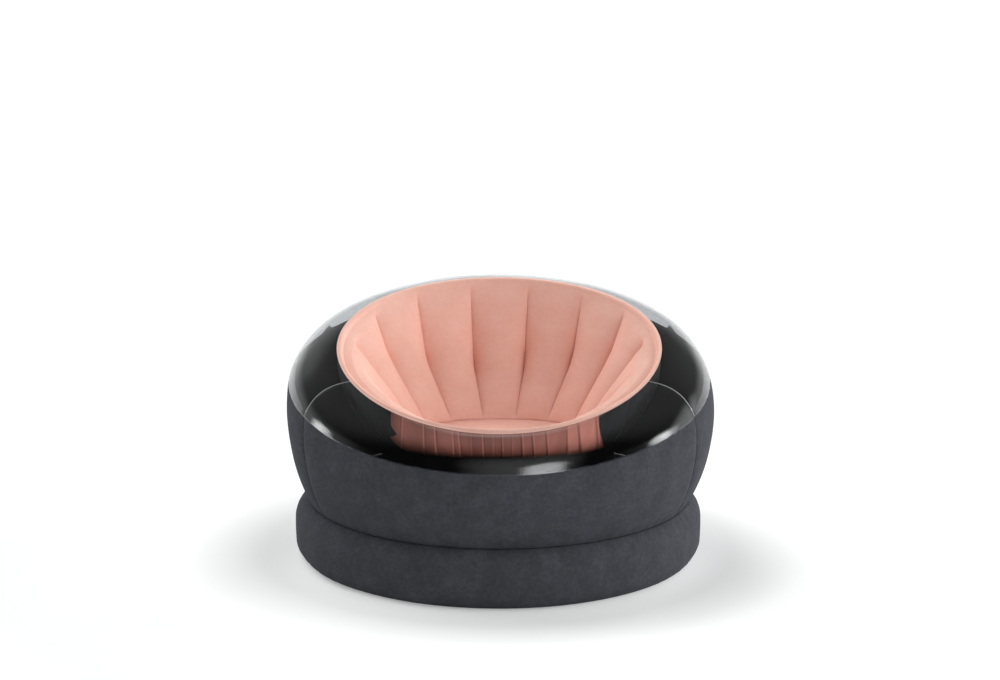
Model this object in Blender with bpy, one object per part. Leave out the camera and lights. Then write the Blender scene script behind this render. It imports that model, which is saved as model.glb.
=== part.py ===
"""An inflatable tub chair: a flocked base ring, a flocked upper ring and a channelled bowl.

Metres, +Z up. The origin is on the floor under the middle of the chair, and the sitter
faces -Y. A turn is an angle round the chair, from the front towards +X. Every panel is one
welded vinyl sheet at its inflated shape, lofted between named rings, and its thickness
goes into the air chamber, so the named rings are always the outside of the chair.
"""

import math

import bmesh
import bpy
from mathutils import Vector

# Sheets and welds
flock_thickness = 0.0005
collar_thickness = 0.0005
web_thickness = 0.0005
weld_gap = 0.0003
diagonal_tie = 0.00001

# The whole chair
columns_round = 64
side_weld_turn = math.radians(64)
weld_pinch = 0.004
weld_pinch_turn = math.radians(7)

# Base ring
base_centre_y = 0.008
floor_radius = 0.503
base_bulge_radius = 0.532
base_corner_height = 0.035
base_shoulder_height = 0.054
base_arc_steps = 3
waist_radius = 0.500
waist_height = 0.150

# Upper ring, from the waist to the seam under the collar
seam_half_width = 0.547
seam_half_depth = 0.539
seam_centre_y = -0.006
seam_front_height = 0.352
seam_side_height = 0.470
seam_back_height = 0.576
wall_bulge = 0.027
wall_fullness = 2.3
wall_steps = 7

# Collar, from that seam to the rim of the bowl, whose heights are above the seat
rim_half_width = 0.4165
rim_half_depth = 0.352
rim_centre_y = -0.088
rim_front_rise = 0.091
rim_side_rise = 0.234
rim_back_rise = 0.341
collar_bulge = 0.026
collar_steps = 6
rim_lap = 0.009

# Bowl liner: a flat weld lap on the rim, a fold half way down, above the seat, and its edge
flange_width = 0.012
lip_drop = 0.010
lip_inset = 0.004
fold_half_width = 0.352
fold_half_depth = 0.310
fold_centre_y = -0.098
fold_front_rise = 0.050
fold_side_rise = 0.163
fold_back_rise = 0.112
seat_half_width = 0.210
seat_half_depth = 0.190
seat_centre_y = -0.133
seat_height = 0.335
seat_squareness = 2.6
seat_crown = 0.020
channel_count = 16
columns_per_channel = 4
channel_crown = 0.022
channel_roundness = 0.7

# How far down the bowl each row of the liner lies, where 1 is the fold and 2 is the seat,
# and how much of the channels' crown stands there
liner_depth_shares = (0.0, 0.25, 0.6, 1.0, 1.35, 1.7, 2.0)
liner_crown_shares = (0.0, 0.55, 1.0, 1.0, 0.95, 0.75, 0.3)
seat_ring_shares = (1.0, 0.7, 0.35)
slope_step = 0.001

# Outer skin of the bowl, behind the liner: from under the rim to a corner, then in to the seat
skin_half_width = 0.300
skin_half_depth = 0.280
skin_centre_y = -0.120
skin_rise = 0.020
skin_front_bulge = 0.020
skin_side_bulge = 0.045
skin_back_bulge = 0.070
skin_seat_gap = 0.0015

# Inside: the sheet that draws in the waist, and the ties
waist_opening_radius = 0.150
lower_tie_every = 2

# Valve, in a flat of the base wall at the back
valve_flat_width = 0.064
valve_sides = 32
neck_radius = 0.0210
neck_bore_radius = 0.0185
neck_proud = 0.0045
neck_clearance = 0.0003
flange_radius = 0.028
flange_thickness = 0.0012
gasket_thickness = 0.0015
gasket_inner_radius = 0.0190
rim_radius = 0.0235
rim_thickness = 0.0035
barrel_radius = 0.0182
barrel_inner_radius = 0.0150
barrel_length = 0.0155
port_radius = 0.0095
port_length = 0.0065
plug_root_radius = 0.0092
plug_tip_radius = 0.0083
plug_length = 0.0055
cap_radius = 0.0130
cap_thickness = 0.0025
cap_hinge_drop = 0.0175
cap_strap_width = 0.0060
cap_strap_thickness = 0.0012
knuckle_radius = 0.0012
knuckle_length = 0.0080
ear_gap = 0.0003
ear_thickness = 0.0018
ear_half_height = 0.0016
ear_proud = 0.0030
moving_gap = 0.0003
flap_radius = 0.0102
flap_thickness = 0.0010
cutter_overrun = 0.010
sharp_turn = math.radians(35)


def linear_from_hex(code):
    channels = [int(code[i:i + 2], 16) / 255 for i in (0, 2, 4)]
    return [c / 12.92 if c <= 0.04045 else ((c + 0.055) / 1.055) ** 2.4 for c in channels]


def give_material(piece, finish):
    colour, roughness, alpha = finish
    material = bpy.data.materials.new(piece.name)
    material.use_nodes = True
    shader = material.node_tree.nodes["Principled BSDF"]
    shader.inputs["Base Color"].default_value = (*linear_from_hex(colour), 1.0)
    shader.inputs["Roughness"].default_value = roughness
    shader.inputs["Metallic"].default_value = 0.0
    shader.inputs["Alpha"].default_value = alpha
    piece.data.materials.append(material)


charcoal_flock = ("3a3b3f", 0.95, 1.0)
clear_film = ("8e9294", 0.06, 0.35)
coral_flock = ("e9a695", 0.9, 1.0)
coral_vinyl = ("d98a78", 0.35, 1.0)
web_vinyl = ("33353a", 0.5, 1.0)
valve_vinyl = ("1b1c1e", 0.4, 1.0)
seal_rubber = ("d8d6cf", 0.6, 1.0)


def size_round(turn, front, side, back):
    """A size that goes smoothly from the front of the chair over its sides to its back."""
    middle = (front + back) / 2
    level = (middle + side) / 2
    saddle = (middle - side) / 2
    tilt = (back - front) / 2
    return level - tilt * math.cos(turn) + saddle * math.cos(2 * turn)


def ring_point(turn, half_width, half_depth, centre_y, height):
    return Vector((half_width * math.sin(turn), centre_y - half_depth * math.cos(turn), height))


def floor_ring(turn):
    return ring_point(turn, floor_radius, floor_radius, base_centre_y, 0)


def waist_ring(turn, height=waist_height):
    return ring_point(turn, waist_radius, waist_radius, base_centre_y, height)


def seam_ring(turn):
    height = size_round(turn, seam_front_height, seam_side_height, seam_back_height)
    return ring_point(turn, seam_half_width, seam_half_depth, seam_centre_y, height)


def rim_ring(turn, inset=0.0):
    rise = size_round(turn, rim_front_rise, rim_side_rise, rim_back_rise)
    return ring_point(turn, rim_half_width - inset, rim_half_depth - inset, rim_centre_y,
                      seat_height + rise)


def fold_ring(turn):
    rise = size_round(turn, fold_front_rise, fold_side_rise, fold_back_rise)
    return ring_point(turn, fold_half_width, fold_half_depth, fold_centre_y, seat_height + rise)


def squarish_ring_point(turn, half_width, half_depth, centre_y, height):
    """A point of a ring that is a little fuller than an oval at its four corners."""
    corners = abs(math.sin(turn)) ** seat_squareness + abs(math.cos(turn)) ** seat_squareness
    fuller = corners ** (-1 / seat_squareness)
    return ring_point(turn, half_width * fuller, half_depth * fuller, centre_y, height)


def seat_ring(turn, spread=0.0, drop=0.0):
    return squarish_ring_point(turn, seat_half_width + spread, seat_half_depth + spread,
                               seat_centre_y, seat_height - drop)


def skin_ring(turn):
    """The skin's corner, a little above the seat's edge and further out."""
    return squarish_ring_point(turn, skin_half_width, skin_half_depth, skin_centre_y,
                               seat_height + skin_rise)


def outward(turn):
    return Vector((math.sin(turn), -math.cos(turn), 0))


def even_turns(start, end, steps):
    return [start + (end - start) * i / steps for i in range(steps + 1)]


def turns_between_welds(start, end):
    """Columns of a panel that ends at the two upright side welds, a gap short of each."""
    short = weld_gap / waist_radius
    steps = round(columns_round * (end - start) / (2 * math.pi))
    return even_turns(start + short, end - short, steps)


def pinch(turn, turns):
    """How far the two vertical welds draw a panel in, at its ends."""
    nearest = min(abs(turn - turns[0]), abs(turn - turns[-1]))
    return weld_pinch * max(0, 1 - nearest / weld_pinch_turn)


def finish_piece(name, bm, finish):
    mesh = bpy.data.meshes.new(name)
    bm.to_mesh(mesh)
    bm.free()
    piece = bpy.data.objects.new(name, mesh)
    bpy.context.scene.collection.objects.link(piece)
    mesh.shade_smooth()
    give_material(piece, finish)
    return piece


def add_two_triangles(bm, a, b, c, d):
    """Both faces of a sheet are split along the same diagonal, so that it never pinches."""
    if (a.co - c.co).length <= (b.co - d.co).length + diagonal_tie:
        bm.faces.new((a, b, c))
        bm.faces.new((a, c, d))
    else:
        bm.faces.new((a, b, d))
        bm.faces.new((b, c, d))


def sheet(name, rows, closed, thickness, finish, offset=-1.0, centre=None):
    """One vinyl sheet: a loft through rows of points, then its thickness.

    The rows run along increasing turns and step upwards or inwards, so the faces look out
    of the chair and the thickness goes in. A centre point closes the last row of a disc.
    """
    bm = bmesh.new()
    grid = [[bm.verts.new(point) for point in row] for row in rows]
    for lower, upper in zip(grid, grid[1:]):
        for i in range(len(lower) if closed else len(lower) - 1):
            j = (i + 1) % len(lower)
            add_two_triangles(bm, lower[i], lower[j], upper[j], upper[i])
    if centre is not None:
        middle = bm.verts.new(centre)
        last = grid[-1]
        for i, vertex in enumerate(last):
            bm.faces.new((vertex, last[(i + 1) % len(last)], middle))
    piece = finish_piece(name, bm, finish)
    solidify = piece.modifiers.new("Thickness", "SOLIDIFY")
    solidify.thickness = thickness
    solidify.offset = offset
    solidify.use_even_offset = True
    return piece


def cut_or_join(piece, tool, operation):
    tool.hide_render = True
    tool.display_type = "WIRE"
    boolean = piece.modifiers.new(tool.name, "BOOLEAN")
    boolean.operation = operation
    boolean.object = tool
    return piece


for old in list(bpy.data.objects):
    bpy.data.objects.remove(old)


# Base ring: floor sheet and side wall

def floor_sheet():
    """The flat bottom, welded to the side wall at its edge."""
    edge = [floor_ring(turn) - outward(turn) * weld_gap for turn in base_wall_turns()]
    centre = Vector((0, base_centre_y, 0))
    return sheet("floor_sheet", [edge], True, flock_thickness, charcoal_flock, 1.0, centre)


def base_wall_profile():
    """Radius and height of the side wall's rows, from the floor's edge up to the waist."""
    profile = []
    for i in range(base_arc_steps + 1):
        lean = math.pi / 2 * i / base_arc_steps
        out = (base_bulge_radius - floor_radius) * math.sin(lean)
        profile.append((floor_radius + out, base_corner_height * (1 - math.cos(lean))))
    top = waist_height - web_thickness / 2 - weld_gap
    for i in range(base_arc_steps + 1):
        lean = math.pi / 2 * i / base_arc_steps
        out = (base_bulge_radius - waist_radius) * math.cos(lean)
        rise = base_shoulder_height * math.sin(lean)
        profile.append((waist_radius + out, top - base_shoulder_height + rise))
    return profile


def valve_half_turn():
    return math.asin(valve_flat_width / 2 / base_bulge_radius)


def base_wall_turns():
    """Even columns round the wall, but for one flat at the back that takes the valve."""
    start = math.pi + valve_half_turn()
    end = 3 * math.pi - valve_half_turn()
    return even_turns(start, end, columns_round - 1)


def valve_height():
    profile = base_wall_profile()
    low = profile[base_arc_steps][1]
    high = profile[base_arc_steps + 1][1]
    return (low + high) / 2


def valve_wall_y():
    return base_centre_y + base_bulge_radius * math.cos(valve_half_turn())


def base_side_wall():
    turns = base_wall_turns()
    rows = [[ring_point(turn, radius, radius, base_centre_y, height) for turn in turns]
            for radius, height in base_wall_profile()]
    wall = sheet("base_side_wall", rows, True, flock_thickness, charcoal_flock)
    hole = turned("valve_hole", [
        (0, -flange_thickness - cutter_overrun),
        (neck_radius + neck_clearance, -flange_thickness - cutter_overrun),
        (neck_radius + neck_clearance, cutter_overrun),
        (0, cutter_overrun),
    ], charcoal_flock)
    return cut_or_join(wall, hole, "DIFFERENCE")


# Upper ring: a front and a back wall between the waist and the collar's seam

def upper_wall(name, start, end):
    turns = turns_between_welds(start, end)
    foot = waist_height + web_thickness / 2 + weld_gap
    rows = []
    for i in range(wall_steps + 1):
        share = i / wall_steps
        fullness = 1 - abs(2 * share - 1) ** wall_fullness
        row = []
        for turn in turns:
            top = seam_ring(turn) - Vector((0, 0, weld_gap))
            point = waist_ring(turn, foot).lerp(top, share)
            out = wall_bulge * fullness - pinch(turn, turns) * fullness
            row.append(point + outward(turn) * out)
        rows.append(row)
    return sheet(name, rows, False, flock_thickness, charcoal_flock)


# Collar: a front and a back half of clear film, from the seam to under the rim's lap

def collar(name, start, end):
    turns = turns_between_welds(start, end)
    rows = []
    for i in range(collar_steps + 1):
        share = i / collar_steps
        fullness = 4 * share * (1 - share)
        row = []
        for turn in turns:
            low = seam_ring(turn) + Vector((0, 0, weld_gap))
            high = rim_ring(turn)
            chord = high - low
            run = -chord.dot(outward(turn))
            square = (outward(turn) * chord.z + Vector((0, 0, run))).normalized()
            row.append(low + chord * share + square * (collar_bulge * fullness))
        rows.append(row)
    rows.append([rim_ring(turn, rim_lap) for turn in turns])
    return sheet(name, rows, False, collar_thickness, clear_film)


# Bowl: the channelled liner and the seat

def plain_bowl_point(turn, depth):
    """A point of the bowl without its channels. Depth 0 is under the lip, 1 the fold, 2 the seat."""
    lip = rim_ring(turn, flange_width + lip_inset) + Vector((0, 0, liner_lift() - lip_drop))
    if depth <= 1:
        return lip.lerp(fold_ring(turn), depth)
    return fold_ring(turn).lerp(seat_ring(turn), depth - 1)


def liner_lift():
    """The lap lies on the collar, so the liner's face is this much above the rim."""
    return weld_gap + flock_thickness


def square_to(surface_point, turn, depth):
    """The direction square to the bowl or its outer skin, towards the seat space."""
    above = max(0, depth - slope_step)
    below = min(2, depth + slope_step)
    across = surface_point(turn + slope_step, depth) - surface_point(turn - slope_step, depth)
    down = surface_point(turn, below) - surface_point(turn, above)
    return across.cross(down).normalized()


def channel_turns():
    """Columns of the liner, the first of them in a groove and then evenly across the channels."""
    count = channel_count * columns_per_channel
    first = math.pi / channel_count
    return [first + 2 * math.pi * i / count for i in range(count)]


def bowl_point(turn, depth, crown_share):
    """A point of the liner's face, with the crown of the channel that the turn lies in."""
    place = (turn / (2 * math.pi) * channel_count - 0.5) % 1
    arc = (4 * place * (1 - place)) ** channel_roundness
    crown = channel_crown * crown_share * arc
    return plain_bowl_point(turn, depth) + square_to(plain_bowl_point, turn, depth) * crown


def backrest_liner():
    turns = channel_turns()
    lift = Vector((0, 0, liner_lift()))
    rows = [
        [rim_ring(turn) + lift for turn in turns],
        [rim_ring(turn, flange_width) + lift for turn in turns],
    ]
    for depth, crown_share in zip(liner_depth_shares, liner_crown_shares):
        rows.append([bowl_point(turn, depth, crown_share) for turn in turns])
    return sheet("backrest_liner", rows, True, flock_thickness, coral_flock)


def seat_sheet():
    """The seat, a shallow dome welded to the lower edge of the liner."""
    centre = Vector((0, seat_centre_y, seat_height))
    rows = []
    for share in seat_ring_shares:
        row = []
        for turn in channel_turns():
            edge = bowl_point(turn, 2, liner_crown_shares[-1])
            edge -= (edge - centre).normalized() * weld_gap
            point = centre.lerp(edge, share)
            point.z += seat_crown * (1 - share ** 2)
            row.append(point)
        rows.append(row)
    top = centre + Vector((0, 0, seat_crown))
    return sheet("seat_sheet", rows, True, flock_thickness, coral_flock, -1.0, top)


def skin_point(turn, depth):
    """A point of the outer skin's face. Depth 0 is its edge under the rim and 2 its corner."""
    top = rim_ring(turn, rim_lap) - Vector((0, 0, collar_thickness + weld_gap))
    share = depth / 2
    bulge = size_round(turn, skin_front_bulge, skin_side_bulge, skin_back_bulge)
    return top.lerp(skin_ring(turn), share) + outward(turn) * (bulge * 4 * share * (1 - share))


def bowl_outer_skin():
    """The plain coral sheet behind the liner. Its corner shows through the clear collar."""
    rows = [[seat_ring(turn, skin_seat_gap, skin_seat_gap) for turn in channel_turns()]]
    for depth in reversed(liner_depth_shares):
        rows.append([skin_point(turn, depth) for turn in channel_turns()])
    return sheet("bowl_outer_skin", rows, True, flock_thickness, coral_vinyl)


# Inside: the waist web, a tie behind each groove, and ties below the bowl and in the base

def waist_web():
    """The sheet across the chair that draws the waist in. Air passes through its opening."""
    turns = base_wall_turns()
    edge = [waist_ring(turn) for turn in turns]
    opening = [ring_point(turn, waist_opening_radius, waist_opening_radius, seat_centre_y, waist_height)
               for turn in turns]
    return sheet("waist_web", [edge, opening], True, web_thickness, web_vinyl, 0.0)


def groove_point(turn, depth):
    """A point on the air side of a groove, where the tie is welded."""
    inward = square_to(plain_bowl_point, turn, depth)
    return plain_bowl_point(turn, depth) - inward * (flock_thickness + weld_gap)


def skin_weld_point(turn, depth):
    """A point on the seat's side of the outer skin, where the tie's other edge is welded."""
    inward = square_to(skin_point, turn, depth)
    return skin_point(turn, depth) + inward * (flock_thickness + weld_gap)


def groove_turns():
    first = math.pi / channel_count
    return [first + 2 * math.pi * i / channel_count for i in range(channel_count)]


def bowl_tie(number, turn):
    """A tie holds one groove of the liner to the outer skin. Air passes at its two ends."""
    groove = [groove_point(turn, depth) for depth in liner_depth_shares[1:-1]]
    skin = [skin_weld_point(turn, depth) for depth in liner_depth_shares[1:-1]]
    return sheet(f"bowl_tie_{number:02d}", [skin, groove], False, web_thickness, web_vinyl, 0.0)


def seat_tie(number, turn):
    """A tie holds the bowl's underside down to the waist web, below every second bowl tie."""
    inner = seat_ring(turn, skin_seat_gap, skin_seat_gap + weld_gap)
    outer = skin_ring(turn) - Vector((0, 0, weld_gap))
    level = waist_height + web_thickness / 2 + weld_gap
    foot = [Vector((point.x, point.y, level)) for point in (outer, inner)]
    return sheet(f"seat_tie_{number}", [foot, [outer, inner]], False, web_thickness, web_vinyl, 0.0)


def base_tie(number, turn):
    """A tie in the base holds the floor sheet flat, below each seat tie."""
    inner = seat_ring(turn)
    outer = fold_ring(turn)
    low = flock_thickness + weld_gap
    high = waist_height - web_thickness / 2 - weld_gap
    foot = [Vector((point.x, point.y, low)) for point in (outer, inner)]
    head = [Vector((point.x, point.y, high)) for point in (outer, inner)]
    return sheet(f"base_tie_{number}", [foot, head], False, web_thickness, web_vinyl, 0.0)


# Valve: a flange welded behind the base wall, a screw-in body, its seal, flap and cap

def turned(name, profile, finish):
    """A turned piece on the valve's axis, from (radius, distance out of the wall) points."""
    bm = bmesh.new()
    rings = []
    for radius, out in profile:
        if radius == 0:
            rings.append([bm.verts.new((0, out, 0))])
            continue
        ring = []
        for i in range(valve_sides):
            angle = 2 * math.pi * i / valve_sides
            ring.append(bm.verts.new((radius * math.cos(angle), out, radius * math.sin(angle))))
        rings.append(ring)
    closed = profile[0][0] > 0
    pairs = list(zip(rings, rings[1:])) + ([(rings[-1], rings[0])] if closed else [])
    for first, second in pairs:
        for i in range(valve_sides):
            j = (i + 1) % valve_sides
            corners = [first[i % len(first)], first[j % len(first)],
                       second[j % len(second)], second[i % len(second)]]
            unique = [corner for k, corner in enumerate(corners) if corner not in corners[:k]]
            bm.faces.new(unique)
    bmesh.ops.recalc_face_normals(bm, faces=bm.faces)
    piece = finish_piece(name, bm, finish)
    piece.data.set_sharp_from_angle(angle=sharp_turn)
    piece.location = (0, valve_wall_y(), valve_height())
    return piece


def block(name, low, high, finish):
    """A plain block in the valve's own frame, for the hinge's small pieces."""
    bm = bmesh.new()
    bmesh.ops.create_cube(bm, size=1)
    for vertex in bm.verts:
        for axis in range(3):
            vertex.co[axis] = high[axis] if vertex.co[axis] > 0 else low[axis]
    piece = finish_piece(name, bm, finish)
    piece.location = (0, valve_wall_y(), valve_height())
    return piece


def valve_flange():
    back = -flock_thickness - weld_gap
    return turned("valve_flange", [
        (neck_bore_radius, back - flange_thickness),
        (flange_radius, back - flange_thickness),
        (flange_radius, back),
        (neck_radius, back),
        (neck_radius, neck_proud),
        (neck_bore_radius, neck_proud),
    ], valve_vinyl)


def gasket_out():
    return neck_proud + moving_gap


def rim_back_out():
    return gasket_out() + gasket_thickness + moving_gap


def rim_face_out():
    return rim_back_out() + rim_thickness


def valve_gasket():
    low = gasket_out()
    high = low + gasket_thickness
    return turned("valve_gasket", [
        (gasket_inner_radius, low),
        (neck_radius, low),
        (neck_radius, high),
        (gasket_inner_radius, high),
    ], seal_rubber)


def valve_body():
    """The screw-in body: a grip rim, a barrel in the neck, and the air port with its seat."""
    back = rim_back_out()
    face = rim_face_out()
    body = turned("valve_body", [
        (port_radius, face - port_length),
        (port_radius, face),
        (rim_radius, face),
        (rim_radius, back),
        (barrel_radius, back),
        (barrel_radius, back - barrel_length),
        (barrel_inner_radius, back - barrel_length),
        (barrel_inner_radius, face - port_length),
    ], valve_vinyl)
    for side in (-1, 1):
        near = side * (knuckle_length / 2 + ear_gap)
        far = side * (knuckle_length / 2 + ear_gap + ear_thickness)
        ear = block(f"cap_ear_{side}",
                    (min(near, far), face - rim_thickness / 2, -cap_hinge_drop - ear_half_height),
                    (max(near, far), face + ear_proud, -cap_hinge_drop + ear_half_height),
                    valve_vinyl)
        cut_or_join(body, ear, "UNION")
    return body


def valve_cap():
    """The cap with its tapered plug, on a strap that ends in a knuckle between the ears."""
    seat = rim_face_out() + moving_gap
    cap = turned("valve_cap", [
        (0, seat - plug_length),
        (plug_tip_radius, seat - plug_length),
        (plug_root_radius, seat),
        (cap_radius, seat),
        (cap_radius, seat + cap_thickness),
        (0, seat + cap_thickness),
    ], valve_vinyl)
    hinge_out = rim_face_out() + moving_gap + knuckle_radius
    strap = block("cap_strap",
                  (-cap_strap_width / 2, hinge_out - cap_strap_thickness / 2, -cap_hinge_drop),
                  (cap_strap_width / 2, hinge_out + cap_strap_thickness / 2, -cap_radius / 2),
                  valve_vinyl)
    bm = bmesh.new()
    bmesh.ops.create_cone(bm, cap_ends=True, segments=valve_sides // 2, radius1=knuckle_radius,
                          radius2=knuckle_radius, depth=knuckle_length)
    knuckle = finish_piece("cap_knuckle", bm, valve_vinyl)
    knuckle.rotation_euler = (0, math.pi / 2, 0)
    knuckle.location = (0, valve_wall_y() + hinge_out, valve_height() - cap_hinge_drop)
    cut_or_join(cap, strap, "UNION")
    return cut_or_join(cap, knuckle, "UNION")


def valve_flap():
    """The soft flap that keeps the air in while the cap is off."""
    shut = rim_face_out() - port_length - moving_gap
    return turned("valve_flap", [
        (0, shut - flap_thickness),
        (flap_radius, shut - flap_thickness),
        (flap_radius, shut),
        (0, shut),
    ], seal_rubber)


floor_sheet()
base_side_wall()
upper_wall("front_wall", -side_weld_turn, side_weld_turn)
upper_wall("back_wall", side_weld_turn, 2 * math.pi - side_weld_turn)
collar("collar_front", -side_weld_turn, side_weld_turn)
collar("collar_back", side_weld_turn, 2 * math.pi - side_weld_turn)
backrest_liner()
seat_sheet()
bowl_outer_skin()
waist_web()
for index, groove_turn in enumerate(groove_turns()):
    bowl_tie(index + 1, groove_turn)
    if index % lower_tie_every == 0:
        seat_tie(index // lower_tie_every + 1, groove_turn)
        base_tie(index // lower_tie_every + 1, groove_turn)
valve_flange()
valve_gasket()
valve_body()
valve_cap()
valve_flap()
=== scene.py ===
"""The inflatable tub chair, dressed: flocked rings, a clear collar and a channelled bowl.

Metres, +Z up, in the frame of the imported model. A turn is an angle round the chair, from
the front towards +X. Every panel is one welded vinyl sheet at its inflated shape.
"""

import math

import bpy
import numpy as np
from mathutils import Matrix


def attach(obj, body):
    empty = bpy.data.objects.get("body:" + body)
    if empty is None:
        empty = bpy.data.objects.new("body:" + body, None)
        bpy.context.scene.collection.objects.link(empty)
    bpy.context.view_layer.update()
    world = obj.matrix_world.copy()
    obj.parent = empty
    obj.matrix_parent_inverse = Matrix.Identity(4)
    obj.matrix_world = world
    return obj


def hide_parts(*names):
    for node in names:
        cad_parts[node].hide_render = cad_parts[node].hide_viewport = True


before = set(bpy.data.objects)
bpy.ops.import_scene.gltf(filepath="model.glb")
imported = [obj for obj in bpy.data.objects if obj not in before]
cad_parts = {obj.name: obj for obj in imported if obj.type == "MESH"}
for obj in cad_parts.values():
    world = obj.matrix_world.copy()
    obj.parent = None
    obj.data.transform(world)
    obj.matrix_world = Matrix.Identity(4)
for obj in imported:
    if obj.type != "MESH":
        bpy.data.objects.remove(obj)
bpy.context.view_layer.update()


# Camera
# The photograph is taken with a long lens from about 6 m away and 2 m up, square to the
# chair's front.

camera_place = (0.0019, -6.1973, 1.9638)
camera_pitch = math.radians(12.7412)
camera_lens = 87.97
camera_sensor = 36.0
camera_reach = 200.0

bpy.ops.object.camera_add(location=camera_place)
camera = bpy.context.object
camera.rotation_euler = (math.pi / 2 - camera_pitch, 0, 0)
camera.data.lens = camera_lens
camera.data.sensor_width = camera_sensor
camera.data.clip_end = camera_reach
bpy.context.scene.camera = camera


# Studio
# A seamless pale floor in a soft dome, with wide soft lamps all round the chair, most of them
# to its sides and back. Gloss sees soft boxes in a dim room, which draws the film's lights.

studio_white = "f5f6f6"
floor_paper = "e8e9e9"
floor_half_width = 60.0
# How much the floor glows at each distance from the chair's middle
floor_glow_places = (0.52, 0.62, 0.82, 1.30, 6.0)
floor_glow_levels = (0.30, 0.19, 0.42, 0.22, 0.22)
dome_level = 0.08
# Gloss sees a pale horizon, full at its foot and gone at its top, which are sines of elevation
room_dim = 0.03
horizon_level = 0.60
horizon_foot = 0.02
horizon_top = 0.27
# Azimuth from the front towards +X, elevation, half width in degrees, and level
soft_boxes = (
    (22, 24, 13, 4.8),
    (12, 28, 32, 0.5),
    (91, -10, 21, 18.0),
    (88.5, 2, 11.5, 8.5),
    (112, 2, 18, 0.8),
    (-101, -11, 19, 18.0),
    (-152, 20, 24, 0.3),
    (180, 4, 38, 0.6),
    (-120, 42, 50, 0.25),
    (122, 42, 50, 0.25),
)
# Strength, azimuth from the front towards +X, and elevation
lamps = {
    "right_back_light": (2.0, 135, 18),
    "right_light": (1.5, 90, 18),
    "right_front_light": (0.95, 45, 30),
    "front_light": (0.18, 0, 12),
    "left_back_light": (1.85, 225, 42),
    "left_light": (0.65, 270, 32),
}
lamp_softness = math.radians(50)


def linear(code):
    """A hex colour as the linear values that shaders take."""
    channels = [int(code[i:i + 2], 16) / 255 for i in (0, 2, 4)]
    return (*[c / 12.92 if c <= 0.04045 else ((c + 0.055) / 1.055) ** 2.4 for c in channels], 1.0)


def add_node(tree, kind, settings=None, links=None):
    """Adds a shader node, gives its settings and sockets their values, and links its inputs.

    A link comes from an output, or from a node's first output.
    """
    node = tree.nodes.new(f"ShaderNode{kind}")
    for name, value in (settings or {}).items():
        if isinstance(name, str) and hasattr(node, name):
            setattr(node, name, value)
        else:
            node.inputs[name].default_value = value
    for name, start in (links or {}).items():
        output = start.outputs[0] if isinstance(start, bpy.types.Node) else start
        tree.links.new(output, node.inputs[name])
    return node


def new_material(name):
    """An empty material, its node tree, and the place on the object that its patterns read."""
    material = bpy.data.materials.new(name)
    material.use_nodes = True
    tree = material.node_tree
    tree.nodes.clear()
    return material, tree, add_node(tree, "TexCoord").outputs["Object"]


def soft_box(tree, direction, azimuth, elevation, width, level):
    """A round soft box in the studio, brightest at its middle and fading out to its width."""
    turn, rise = math.radians(azimuth), math.radians(elevation)
    centre = (math.sin(turn) * math.cos(rise), -math.cos(turn) * math.cos(rise), math.sin(rise))
    near = add_node(tree, "VectorMath", {"operation": "DOT_PRODUCT", 1: centre}, {0: direction})
    return add_node(tree, "MapRange", {"interpolation_type": "SMOOTHSTEP", "To Min": 0.0, "To Max": level,
                    "From Min": math.cos(math.radians(width)), "From Max": 1.0},
                    {"Value": near.outputs["Value"]})


bpy.context.scene.view_settings.view_transform = "Standard"

# Eye and see-through rays meet plain white, gloss meets the soft boxes, and the rest the dome
world = bpy.data.worlds.new("Studio")
bpy.context.scene.world = world
world.use_nodes = True
tree = world.node_tree
tree.nodes.clear()
direction = add_node(tree, "TexCoord").outputs["Generated"]
height = add_node(tree, "SeparateXYZ", {}, {0: direction}).outputs["Z"]
gloss = add_node(tree, "MapRange", {"interpolation_type": "SMOOTHSTEP", "From Min": horizon_top,
                 "From Max": horizon_foot, "To Min": room_dim, "To Max": horizon_level},
                 {"Value": height})
for azimuth, elevation, width, level in soft_boxes:
    box = soft_box(tree, direction, azimuth, elevation, width, level)
    gloss = add_node(tree, "Math", {"operation": "ADD"}, {0: gloss, 1: box})
ray = add_node(tree, "LightPath")
unseen = add_node(tree, "Mix", {"data_type": "FLOAT", 2: dome_level},
                  {"Factor": ray.outputs["Is Glossy Ray"], 3: gloss})
seen = add_node(tree, "Math", {"operation": "MAXIMUM"},
                {0: ray.outputs["Is Camera Ray"], 1: ray.outputs["Is Transmission Ray"]})
level = add_node(tree, "Mix", {"data_type": "FLOAT", 3: 1.0}, {"Factor": seen, 2: unseen})
light = add_node(tree, "Background", {"Color": linear(studio_white)}, {"Strength": level})
add_node(tree, "OutputWorld", {}, {"Surface": light})

# The floor is one flat sheet, far wider than the view. Seen by eye or in gloss it glows a
# little, most so where the low lamps would throw long shadows. The rest of its tone is light.
bpy.ops.mesh.primitive_plane_add(size=2 * floor_half_width, location=(0, 0, 0))
floor = bpy.context.object
floor.name = "studio_floor"
paper, tree, place = new_material("seamless_paper")
far = add_node(tree, "VectorMath", {"operation": "LENGTH"}, {0: place}).outputs["Value"]
share = add_node(tree, "Math", {"operation": "DIVIDE", 1: floor_glow_places[-1]}, {0: far})
glow = add_node(tree, "ValToRGB", {}, {"Fac": share})
glow.color_ramp.elements.remove(glow.color_ramp.elements[1])
for far, level in zip(floor_glow_places, floor_glow_levels):
    glow.color_ramp.elements.new(far / floor_glow_places[-1]).color = (level, level, level, 1.0)
glow.color_ramp.elements[0].color = glow.color_ramp.elements[1].color
ray = add_node(tree, "LightPath")
seen = add_node(tree, "Math", {"operation": "MAXIMUM"},
                {0: ray.outputs["Is Camera Ray"], 1: ray.outputs["Is Glossy Ray"]})
level = add_node(tree, "Math", {"operation": "MULTIPLY"}, {0: glow, 1: seen})
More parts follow.
